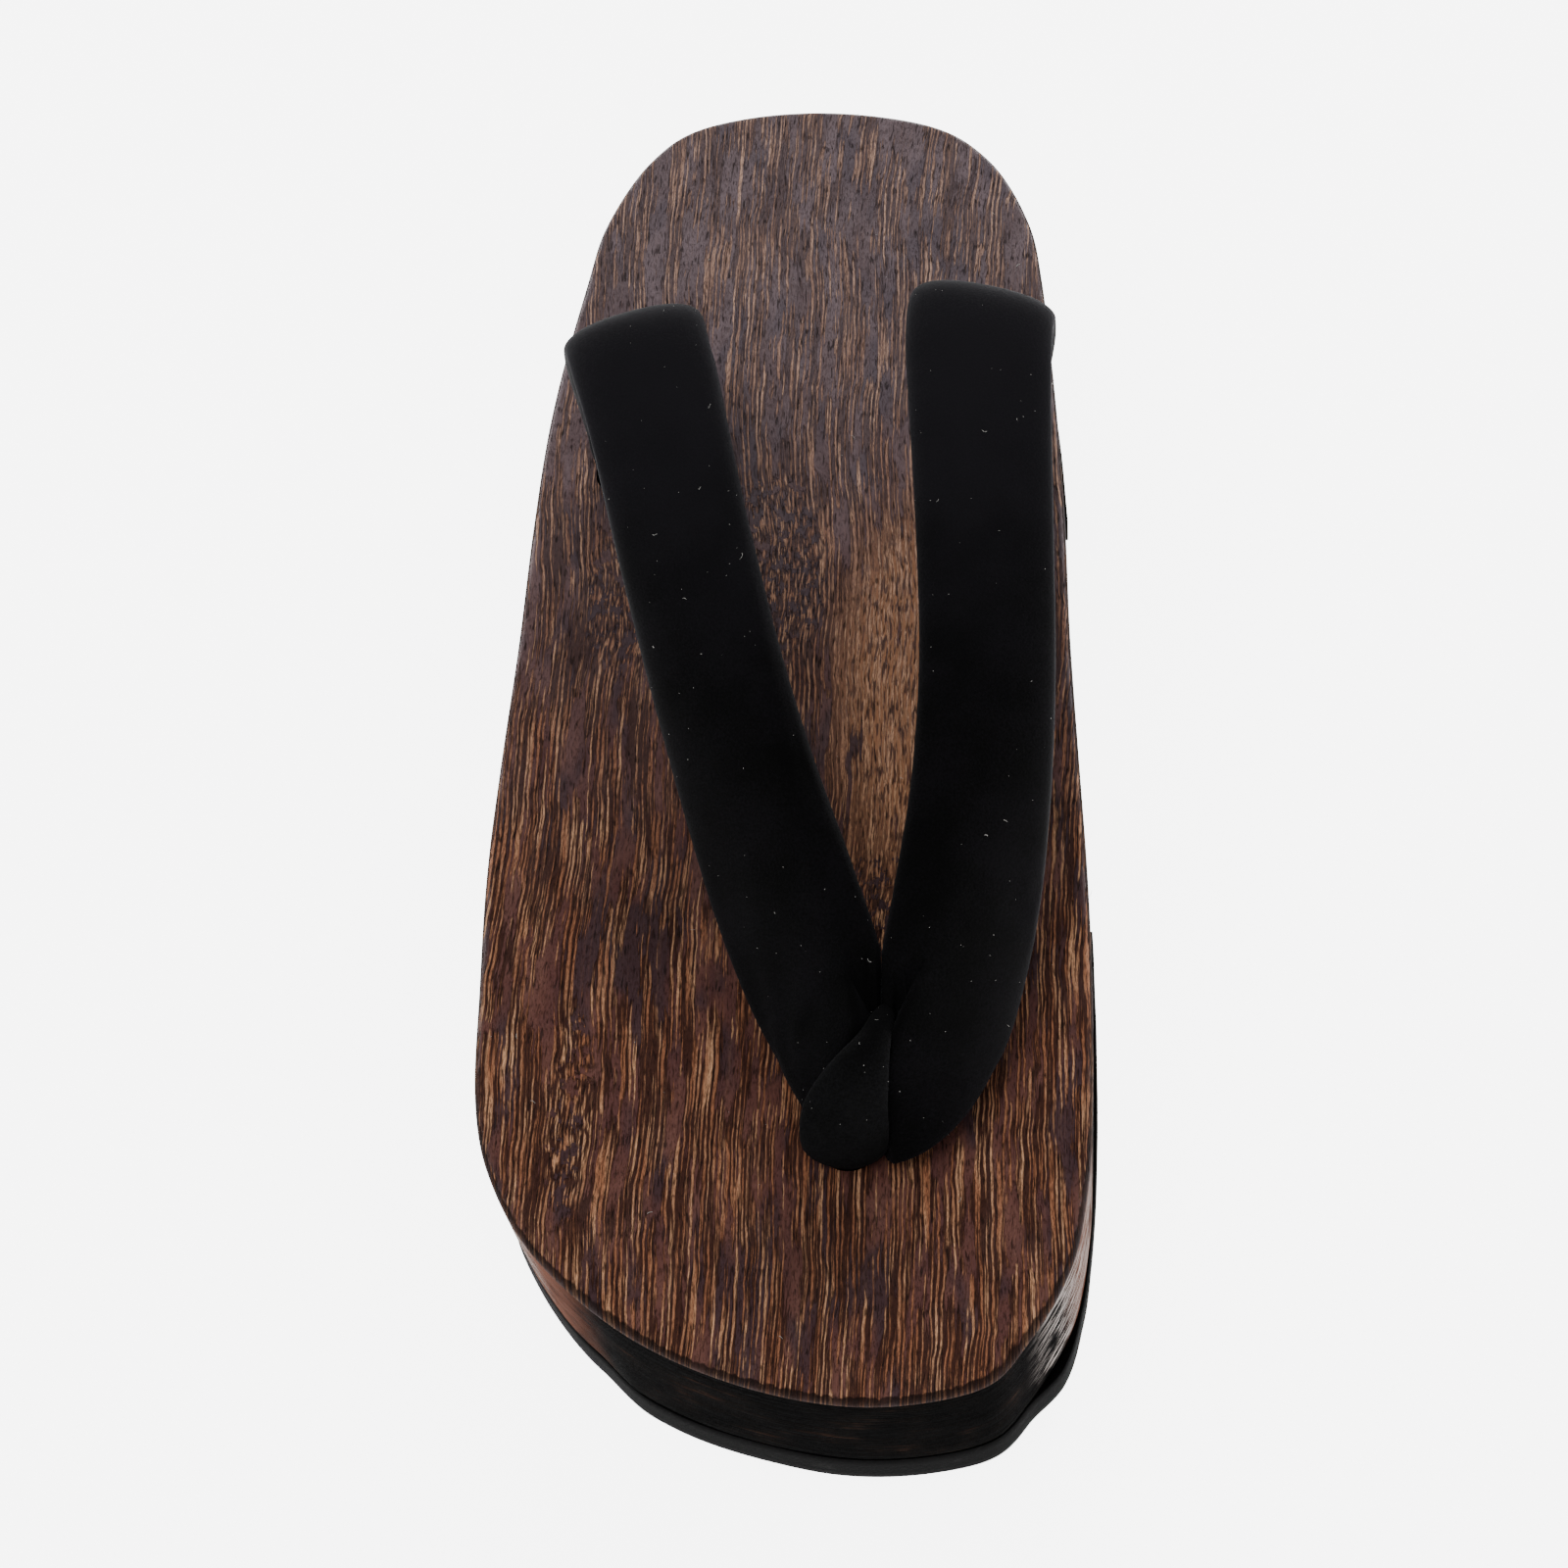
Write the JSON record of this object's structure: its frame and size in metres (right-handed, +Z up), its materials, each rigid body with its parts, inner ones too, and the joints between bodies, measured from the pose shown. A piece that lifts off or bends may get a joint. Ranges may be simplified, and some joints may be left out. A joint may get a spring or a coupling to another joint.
{
  "type": "geta sandal",
  "caption": "Right-foot wooden sandal: scorched flat platform on rubber pads, with a padded velvet thong strap.",
  "frame": {"origin": "on the floor under the middle of the sole's outline", "axes": "+Z up, -Y towards the toe, +Y towards the heel, +X towards the inner, big-toe side"},
  "size_m": [0.1104, 0.2754, 0.0857],
  "materials": {
    "scorched_wood": "scorched and brushed, waxed satin",
    "sole_rubber": "matt",
    "black_velvet": "short velvet pile",
    "knot_cord": "braided cord"
  },
  "bodies": {
    "root": {"platform": "scorched_wood", "front_sole_pad": "sole_rubber", "heel_sole_pad": "sole_rubber", "thong_straps": "black_velvet", "front_loop": "black_velvet", "front_cord_knot": "knot_cord", "inner_cord_knot": "knot_cord", "outer_cord_knot": "knot_cord"}
  },
  "joints": []
}
